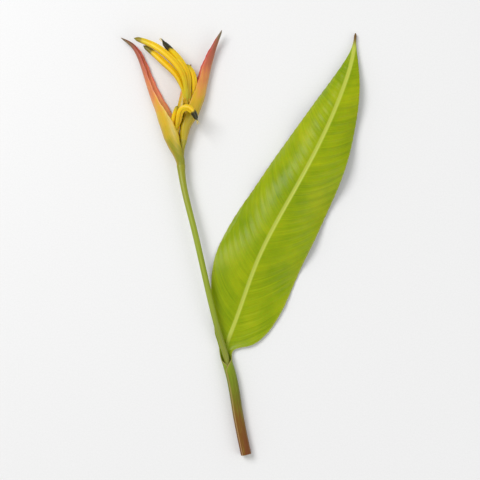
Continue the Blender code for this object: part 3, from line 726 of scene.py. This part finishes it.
def leaf():
    """Sheath, stalk of the leaf, midrib and blade in one: a rolled sheet that opens into the blade."""
    line = spline(LEAF_ROUTE)
    at = rows_by_steps(LEAF_ROW_STEPS, line.length)
    centres = along(line, at)
    right, up = frames(centres)
    share, width = leaf_columns(at)
    level, height = leaf_section(at, share, width)
    grid = spread(centres, level, right, height, up)
    from_midrib = share * width
    vein = at[:, None] - VEIN_CLIMB[0] * np.abs(from_midrib) - VEIN_CLIMB[1] * from_midrib**2
    down_leaf, across = np.gradient(grid, axis=(0, 1))
    normal = unit(np.cross(across, down_leaf))
    grid = grid + normal * corrugation(vein, from_midrib, at)[..., None]
    above, below = leaf_faces(at, share, from_midrib)
    upper = grid + normal * above[..., None]
    lower = grid - normal * below[..., None]
    depth = lower[..., 2]
    rested = (depth + np.sqrt(depth**2 + FLOOR_SOFTNESS**2)) / 2
    lift = column(RESTING, at) * (rested - depth)
    upper[..., 2] += lift
    lower[..., 2] += lift
    place = at / at[-1]
    place[0] = CUT_PLACE
    sheet = tags(share, place[:, None], 0)
    flat = tags(from_midrib, at[:, None], vein)
    piece("leaf_blade_and_sheath", [(shell(upper, lower, sheet, flat), "leaf_skin")], "leaf")


def axis_radius(point):
    """The stalk's radius where it passes nearest to the point."""
    line = spline(STALK_ROUTE)
    nearest = np.argmin(np.linalg.norm(line.points - point, axis=1))
    return profile(STALK_RADII, line.at[nearest])


def foot_narrowing(plan, centre, down):
    """What a bract's girth is divided by in the rows of its foot, so that the foot closes onto the axis."""
    own_radius = plan.depths[0][1] + BRACT_SKIN * BRACT_SKIN_SHARES[0][1]
    girth = own_radius / (axis_radius(centre) - BRACT_FOOT_SINK)
    return 1 + (girth - 1) * (down / BRACT_FOOT) ** 2


def bract_relief(place, at, share):
    """How far a bract's nerves stand up and its rims stand forward. The two rims differ."""
    fade = column(BRACT_RELIEF, place)
    nerve = NERVE_HEIGHT * fade * np.cos(math.pi * BRACT_NERVES * share) * (1 - share**NERVE_EDGE_POWER)
    phase = by_side(share, RIM_PHASES)
    wave = sum(high * np.sin(2 * math.pi * at[:, None] / long + phase * long) for high, long in RIM_WAVES)
    return nerve, fade * (share**RIM_POWER * wave)


def bract(name, plan):
    """A folded, boat-shaped bract with fine lengthwise nerves. Its foot closes onto the axis."""
    side = plan.side
    line = spline(plan.route)
    below = np.linspace(-BRACT_FOOT, 0, BRACT_FOOT_ROWS, endpoint=False)
    above = line.length * np.linspace(0, 1, BRACT_ROWS + 1) ** BRACT_ROW_CROWDING
    at = np.concatenate([below, above])
    place = at / line.length
    down = np.minimum(at, 0)[:, None]
    centres = along(line, at) + down * unit(line.points[1] - line.points[0])
    right, up = frames(centres)
    roll = column(plan.rolls, place)
    outward = side * right * np.cos(roll) - up * np.sin(roll)
    upward = side * right * np.sin(roll) + up * np.cos(roll)
    depth, width = column(plan.depths, place), column(plan.widths, place)
    share = np.linspace(-1, 1, BRACT_COLUMNS + 1)
    angle = column(plan.openings, place) * share
    deep = np.cos(angle)
    wide = np.sign(angle) * np.abs(np.sin(angle)) ** column(BRACT_FOLDS, place)
    reach = np.where(deep < 0, plan.depths[0][1], depth)
    skin = BRACT_SKIN * column(BRACT_SKIN_SHARES, place) * thickness("bract", share)
    nerve, rim = bract_relief(place, at, share)
    hug = rounded_end(len(at))[:, None] / foot_narrowing(plan, centres[0], down)

    def face(extra):
        along_keel = hug * (reach + extra) * deep - rim
        return spread(centres, along_keel, outward, hug * (width + extra) * wide, upward)

    sheet = tags(share[None, :], np.maximum(place, 0)[:, None], 0)
    flat = tags(share[None, :] * (depth + width), at[:, None], float(side))
    made = shell(face(-nerve / 2), face(skin + nerve), sheet, flat)
    piece(name + "_shell", [(made, "bract_skin")], name)


def floret_rings(place):
    """Radii of a floret's rings in shares: three rounded corners, and three sepals that overlap at seams."""
    angles = round_angles(FLORET_SIDES)
    off_seam = ((angles * SEPALS / (2 * math.pi)) % 1 - 0.5) * 2 * math.pi / SEPALS
    groove = SEAM_DEPTH * np.exp(-((off_seam / SEAM_HALF_WIDTH) ** 2))
    lap = SEAM_LAP * np.tanh(off_seam / SEAM_HALF_WIDTH) * np.exp(-((off_seam / SEAM_LAP_HALF_WIDTH) ** 2))
    return 1 + SEPAL_ROUNDING * np.cos(SEPALS * angles) + column(SEAM_SHARES, place) * (lap - groove)


def free_sepal(line, size, dark):
    """The sepal of an open floret that bends away from the others, cupped towards them."""
    plan = FREE_SEPAL
    place = np.linspace(plan.start, 1, plan.rows + 1)
    centres = along(line, place * line.length)
    right, up = frames(centres)
    rise = (place - plan.start) / (1 - plan.start)
    off = size * (plan.start_off + plan.stand_off * rise ** plan.bend)
    end = rounded_end(len(place))
    width = (size * plan.half_width * (1 - plan.taper * rise**3) * end)[:, None]
    share = np.linspace(-1, 1, plan.columns + 1)
    cup = plan.cup * width * share**2
    grid = spread(centres + off[:, None] * up, width * share, right, -cup, up)
    thin = end[:, None] * thickness("sepal", share)
    skin = (plan.skin / 2 * thin)[..., None] * up[:, None]
    sheet = tags(1 - plan.edge_mark * share ** plan.mark_power, place[:, None], 0)
    flat = tags(width * share, (place * line.length)[:, None], dark)
    return shell(grid + skin, grid - skin, sheet, flat)


def scale_leaf(line, size, towards):
    """The pointed scale leaf on one side of a floret's foot."""
    plan = SCALE
    share = np.linspace(-1, 1, plan.columns + 1)
    rise = np.linspace(0, 1, plan.rows + 1)
    at = plan.start + size * plan.length * rise
    centres = along(line, at)
    right, up = frames(centres)
    radius = size * profile(FLORET_RADII, at / line.length) * (1 + SEPAL_ROUNDING) + plan.clear
    radius = (radius + plan.stand_off * rise ** plan.bend)[:, None]
    angle = towards + plan.half_turn * column(plan.turn_shares, rise) * share
    outward = np.cos(angle)[..., None] * right[:, None] + np.sin(angle)[..., None] * up[:, None]
    skin = plan.skin * rounded_end(len(rise))[:, None] * thickness("scale", share)
    inner = centres[:, None] + radius[..., None] * outward
    outer = centres[:, None] + (radius + skin)[..., None] * outward
    low, high = plan.places
    sheet = tags(share, (low + (high - low) * rise)[:, None], 0)
    return shell(inner, outer, sheet, tags(radius * angle, at[:, None], 1))


def anthers(line, size, draw):
    """The filaments and anthers that stand out of an open floret's tip."""
    shapes = []
    ends = along(line, np.array([line.length - FILAMENT_START, line.length]))
    inside, forward = ends[0], unit(ends[1] - ends[0])
    (right, _), (up, _) = frames(ends)
    share = np.linspace(0, 1, FILAMENT_ROWS)
    swell = np.sin(math.pi * np.linspace(*ANTHER_ENDS, FILAMENT_ROWS))
    ring = np.ones(FILAMENT_SIDES)
    for number in range(ANTHERS):
        turn = 2 * math.pi * (number + draw.uniform(-FILAMENT_SHIFT, FILAMENT_SHIFT)) / ANTHERS
        lean = math.cos(turn) * right + math.sin(turn) * up
        reach = FILAMENT_START + size * draw.uniform(*FILAMENT_REACH)
        off = FILAMENT_SPREAD[0] + FILAMENT_SPREAD[1] * share**2
        centres = inside + reach * share[:, None] * forward + off[:, None] * lean
        shapes.append(tube(centres, np.full(FILAMENT_ROWS, FILAMENT_RADIUS), ring, share, share, 0))
        body = centres[-1] + ANTHER_LENGTH * (share[:, None] - ANTHER_SINK) * forward
        shapes.append(tube(body, ANTHER_RADIUS * swell, ring, share, share, 1))
    return shapes


def foot(centre, size):
    """The cushion in the axil that the florets of one bract stand on."""
    turn = math.pi * np.linspace(*FOOT_ENDS, FOOT_ROWS)[:, None]
    angles = round_angles(FOOT_SIDES)
    sideways = np.sin(turn) * np.cos(angles)
    lengthwise = np.cos(turn) * np.ones(FOOT_SIDES)
    upward = np.sin(turn) * np.sin(angles)
    rings = np.array(centre) + np.array(size) * np.stack([sideways, lengthwise, upward], axis=-1)
    sheet = tags(0 * angles, FOOT_PLACE * (1 + np.cos(turn)), 0)
    flat = tags(np.abs(angles - math.pi) * size[0], size[1] * np.cos(turn), 0)
    return wrap(rings, sheet, flat, [tuple(range(FOOT_SIDES - 1, -1, -1))])


def florets(name, plan, draw):
    """All the florets in one bract's axil, with the cushion that they stand on."""
    parts = [(foot(plan.foot, plan.foot_size), "floret_skin")]
    for stem in plan.stems:
        line = spline(stem.route)
        place = np.linspace(0, 1, FLORET_ROWS + 1) ** FLORET_ROW_CROWDING
        at = place * line.length
        radii = stem.size * profile(FLORET_RADII, place) * rounded_end(len(place))
        body = tube(along(line, at), radii, floret_rings(place), place, at, stem.dark)
        parts.append((body, "floret_skin"))
        if stem.scale is not None:
            parts.append((scale_leaf(line, stem.size, stem.scale), "bract_skin"))
        if stem.opened:
            parts.append((free_sepal(line, stem.size, stem.dark), "floret_skin"))
            parts += [(made, "anther_skin") for made in anthers(line, stem.size, draw)]
    piece(name + "_cluster", parts, name)


def stalk():
    """The flower stalk with the zigzag axis of the flower at its end, and a flat cut face."""
    line = spline(STALK_ROUTE)
    at = rows_by_steps(STALK_ROW_STEPS, line.length)
    radii = profile(STALK_RADII, at) * rounded_end(len(at))
    ridges = 1 + STALK_RIDGE * np.cos(STALK_RIDGES * round_angles(STALK_SIDES))
    made = tube(along(line, at), radii, ridges, at / line.length, at, 0, STALK_CUT)
    piece("stalk_and_axis", [(made, "stalk_skin")], "stalk")


# Looks. Each is one Principled shader, with colours and relief from the sheet and flat numbers.


def add(kind, inputs, **settings):
    """The outputs of a new node. inputs maps its sockets to numbers, colours or other nodes' outputs."""
    tree = next(value.id_data for value in inputs.values() if isinstance(value, bpy.types.NodeSocket))
    made = tree.nodes.new("ShaderNode" + kind)
    for key, value in settings.items():
        setattr(made, key, value)
    for key, value in inputs.items():
        if isinstance(value, bpy.types.NodeSocket):
            tree.links.new(value, made.inputs[key])
        else:
            made.inputs[key].default_value = value
    return made.outputs


def numbers(tree):
    """What a mesh holds under sheet, and under flat: the three numbers of each, and their vector."""
    for label in ("sheet", "flat"):
        held = tree.nodes.new("ShaderNodeAttribute")
        held.attribute_name = label
        split = add("SeparateXYZ", {0: held.outputs["Vector"]})
        yield split[0], split[1], split[2], held.outputs["Vector"]


def object_places(tree):
    return tree.nodes.new("ShaderNodeTexCoord").outputs["Object"]


def maths(kind, *values):
    return add("Math", dict(enumerate(values)), operation=kind)[0]


def step(value, low, high, top=1, bottom=0):
    """A smooth step of value, from bottom at low to top at high."""
    inputs = {0: value, 1: low, 2: high, 3: bottom, 4: top}
    return add("MapRange", inputs, interpolation_type="SMOOTHSTEP")[0]


def noise(vector, scale, stretch=(1, 1, 1), detail=3):
    """Noise from 0 to 1 over the vector, stretched by its three numbers."""
    scaled = add("VectorMath", {0: vector, 1: stretch}, operation="MULTIPLY")[0]
    return add("TexNoise", {0: scaled, 2: scale, 3: detail, 4: NOISE_ROUGHNESS})[0]


def ramp(value, name):
    """The colour of value on the ramp of that name."""
    made = value.id_data.nodes.new("ShaderNodeValToRGB")
    value.id_data.links.new(value, made.inputs[0])
    stops, elements = RAMPS[name], made.color_ramp.elements
    while len(elements) < len(stops):
        elements.new(1)
    for element, (place, colour) in zip(elements, stops):
        element.position = place
        element.color = tone(colour)
    return made.outputs[0]


def mix(share, below, above, blend="MIX"):
    inputs = {0: share, 6: below, 7: above}
    return add("Mix", inputs, data_type="RGBA", blend_type=blend)[2]


def mark(colour, name, value, where=None, blend="MIX"):
    """The colour with the marking of that name over it, by its step of value and by where, if given."""
    above, *ends = MARKS[name]
    share = step(value, *ends)
    if where is not None:
        share = maths("MULTIPLY", share, where)
    return mix(share, colour, tone(above), blend)


def cut_face(tree, scale, fibre, flesh):
    """The colour of a cut face: flesh with darker fibres."""
    fibres = add("TexVoronoi", {0: object_places(tree), 2: scale})[0]
    return mark(tone(fibre), flesh, fibres)


def relief(height, distance, strength):
    """The normal of a surface with that height as relief."""
    return add("Bump", {"Height": height, "Distance": distance, "Strength": strength})[0]


def blade_colour(tree, patches, coarse, fine):
    """Green, with bands and lines along the side veins, a pale midrib, a worn edge and a dry tip."""
    (share, place, face, _), (across, at, _, flat) = numbers(tree)
    near_edge = maths("ABSOLUTE", share)
    blade = ramp(patches, "blade")
    blade = mark(blade, "blade band", coarse)
    blade = mark(blade, "blade line", fine)
    blade = mark(blade, "midrib", maths("ABSOLUTE", across), step(at, *ON_MIDRIB))
    blade = mark(blade, "blade edge", near_edge)
    blade = mark(blade, "blade wear", near_edge, step(noise(flat, *BLADE_SPOTS), *WORN))
    underside = mix(BLADE_UNDERSIDE_SHARE, blade, tone(BLADE_UNDERSIDE))
    blade = mix(step(face, *UPPER_FACE), underside, blade)
    return mark(blade, "blade tip", place)


def sheath_colour(share, at, lines):
    """Brown-red at the cut end and green above, with pale lines and edges."""
    ragged = maths("ADD", at, maths("MULTIPLY", lines, RAGGED))
    sheath = ramp(step(ragged, *ALONG_SHEATH), "sheath")
    sheath = mark(sheath, "sheath line", lines)
    return mark(sheath, "sheath edge", maths("ABSOLUTE", share))


def leaf_look(tree):
    (share, place, _, _), (across, at, vein, flat) = numbers(tree)
    veins = add("CombineXYZ", {0: vein, 1: across})[0]
    fine = noise(veins, *VEIN_LINES)
    patches = noise(flat, *BLADE_PATCHES)
    lines = noise(flat, *SHEATH_LINES)
    on_blade = step(at, *ON_BLADE)
    uncut = step(place, *LEAF_UNCUT)
    blade = blade_colour(tree, patches, noise(veins, *VEIN_BANDS), fine)
    colour = mix(on_blade, sheath_colour(share, at, lines), blade)
    sheath_grain = maths("MULTIPLY", lines, maths("SUBTRACT", 1, on_blade))
    grain = maths("ADD", maths("MULTIPLY", fine, on_blade), sheath_grain)
    return {
        "Base Color": mix(uncut, cut_face(tree, *SHEATH_FACE), colour),
        "Roughness": step(patches, *LEAF_ROUGHNESS),
        "Normal": relief(maths("MULTIPLY", grain, uncut), *LEAF_BUMP),
    }


def bract_outside(reach, side, away, below_tip):
    """Yellow, red and brown along the bract, with red rims and a yellow keel. Its foot is dark olive, partly
    its own colour and partly painted shade; right-hand feet skip that and are golden.
    """
    colour = ramp(maths("MAXIMUM", reach, step(side, *RIGHT_FOOT)), "bract outside")
    colour = mark(colour, "bract rim", away, maths("MULTIPLY", step(reach, *BLUSHED), below_tip))
    return mark(colour, "bract keel", away, step(reach, *BELOW_KEEL_END))


def bract_inside(reach, away, below_tip):
    """Paler than the outside, with a narrow red rim."""
    blushed = maths("MULTIPLY", step(reach, *BLUSHED_INSIDE), below_tip)
    return mark(ramp(reach, "bract inside"), "bract inner rim", away, blushed)


def bract_look(tree):
    (share, place, face, _), (_, _, side, flat) = numbers(tree)
    streaks = noise(flat, *BRACT_STREAKS)
    uneven = maths("ADD", streaks, noise(flat, *BRACT_BLOTCHES))
    reach = maths("ADD", place, step(uneven, *BRACT_SHIFT))
    away = maths("ABSOLUTE", share)
    below_tip = step(reach, *BELOW_TIP)
    outside = bract_outside(reach, side, away, below_tip)
    inside = bract_inside(reach, away, below_tip)
    colour = mix(step(face, *UPPER_FACE), outside, inside)
    colour = mark(colour, "bract streak", streaks, blend="SOFT_LIGHT")
    return {
        "Base Color": mark(colour, "bract freckle", noise(flat, *BRACT_FRECKLES)),
        "Roughness": step(reach, *BRACT_ROUGHNESS),
        "Normal": relief(streaks, *BRACT_BUMP),
    }


def floret_look(tree):
    (lobe, place, _, _), (_, _, dark, flat) = numbers(tree)
    streaks = noise(flat, *FLORET_STREAKS)
    reach = maths("ADD", place, step(streaks, *FLORET_SHIFT))
    on_sepals = step(place, *ON_SEPALS)
    colour = ramp(reach, "floret")
    colour = mark(colour, "floret blotch", noise(flat, *FLORET_BLOTCHES))
    colour = mark(colour, "floret streak", streaks)
    colour = mark(colour, "floret seam", lobe, on_sepals)
    colour = mark(colour, "sepal middle", lobe, on_sepals)
    past_start = maths("SUBTRACT", reach, step(dark, *START_OF_DARK))
    return {
        "Base Color": mark(colour, "floret tip", past_start, dark),
        "Normal": relief(streaks, *FLORET_BUMP),
    }


def stalk_look(tree):
    (_, place, _, _), (_, _, _, flat) = numbers(tree)
    streaks = noise(flat, *STALK_STREAKS)
    uncut = step(place, *STALK_UNCUT)
    skin = ramp(maths("ADD", place, step(streaks, *STALK_SHIFT)), "stalk")
    skin = mark(skin, "stalk line", streaks)
    skin = mark(skin, "stalk shade", streaks)
    skin = mark(skin, "stalk speck", noise(flat, *STALK_SPECKS))
    return {
        "Base Color": mix(uncut, cut_face(tree, *STALK_FACE), skin),
        "Normal": relief(maths("MULTIPLY", streaks, uncut), *STALK_BUMP),
    }


def anther_look(tree):
    (_, _, on_anther, _), _ = numbers(tree)
    grains = noise(object_places(tree), *POLLEN_GRAINS)
    pollen = mark(tone(POLLEN_SHADE), "pollen", grains)
    return {
        "Base Color": mix(step(on_anther, *ON_ANTHER), tone(FILAMENT), pollen),
        "Normal": relief(grains, *ANTHER_BUMP),
    }


def floor_look(tree):
    grains = noise(object_places(tree), *FLOOR_GRAINS)
    return {"Base Color": mark(tone(FLOOR_SHADE), "floor", grains)}


def new_look(name, look):
    """A material of that name. look gives what the sockets of its shader are joined to."""
    made = bpy.data.materials.new(name)
    made.use_nodes = True
    tree = made.node_tree
    shader = tree.nodes["Principled BSDF"]
    for socket, value in zip(SOCKETS, SHADERS[name]):
        if value is not None:
            shader.inputs[socket].default_value = value
    for socket, output in look(tree).items():
        tree.links.new(output, shader.inputs[socket])


def floor():
    """The pale surface that the flower lies on."""
    mesh = bpy.data.meshes.new("floor")
    size = FLOOR_HALF_SIZE
    corners = [(-size, -size, 0), (size, -size, 0), (size, size, 0), (-size, size, 0)]
    mesh.from_pydata(corners, [], [(0, 1, 2, 3)])
    mesh.materials.append(bpy.data.materials["pale_floor"])
    thing = place_in_scene("floor", mesh)
    thing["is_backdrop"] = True


def look_at(thing, target):
    """Turns a light or camera towards the target."""
    away = thing.location - target
    thing.rotation_euler = away.to_track_quat("Z", "Y").to_euler()


def lights():
    """A large soft light from the upper left, a weak one from the right, and an even white sky."""
    world = bpy.data.worlds.new("studio")
    world.use_nodes = True
    sky = world.node_tree.nodes["Background"]
    sky.inputs["Color"].default_value = (1, 1, 1, 1)
    sky.inputs["Strength"].default_value = SKY_STRENGTH
    bpy.context.scene.world = world
    for name, place, size, power in LAMPS:
        lamp = bpy.data.lights.new(name, "AREA")
        lamp.size = size
        lamp.energy = power
        thing = place_in_scene(name, lamp)
        thing.location = place
        look_at(thing, bpy.data.objects["floor"].location)


def camera():
    """The camera looks down on the flower, with the flower's head up in the picture."""
    lens = bpy.data.cameras.new("camera")
    lens.lens = CAMERA_LENS
    thing = place_in_scene("camera", lens)
    low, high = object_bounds()
    centre = (low + high) / 2
    tilt = math.radians(CAMERA_ELEVATION)
    thing.location = centre
    thing.location.y -= CAMERA_DISTANCE * math.cos(tilt)
    thing.location.z += CAMERA_DISTANCE * math.sin(tilt)
    look_at(thing, centre)
    bpy.context.scene.camera = thing
    bpy.context.scene.view_settings.view_transform = "Standard"


def main():
    looks = (leaf_look, bract_look, floret_look, stalk_look, anther_look, floor_look)
    for name, look in zip(SHADERS, looks):
        new_look(name, look)
    draw = np.random.default_rng(SEED)
    stalk()
    leaf()
    for name, plan in BRACTS.items():
        bract(name, plan)
    for name, plan in FLORETS.items():
        florets(name, plan, draw)
    floor()
    lights()
    camera()


main()
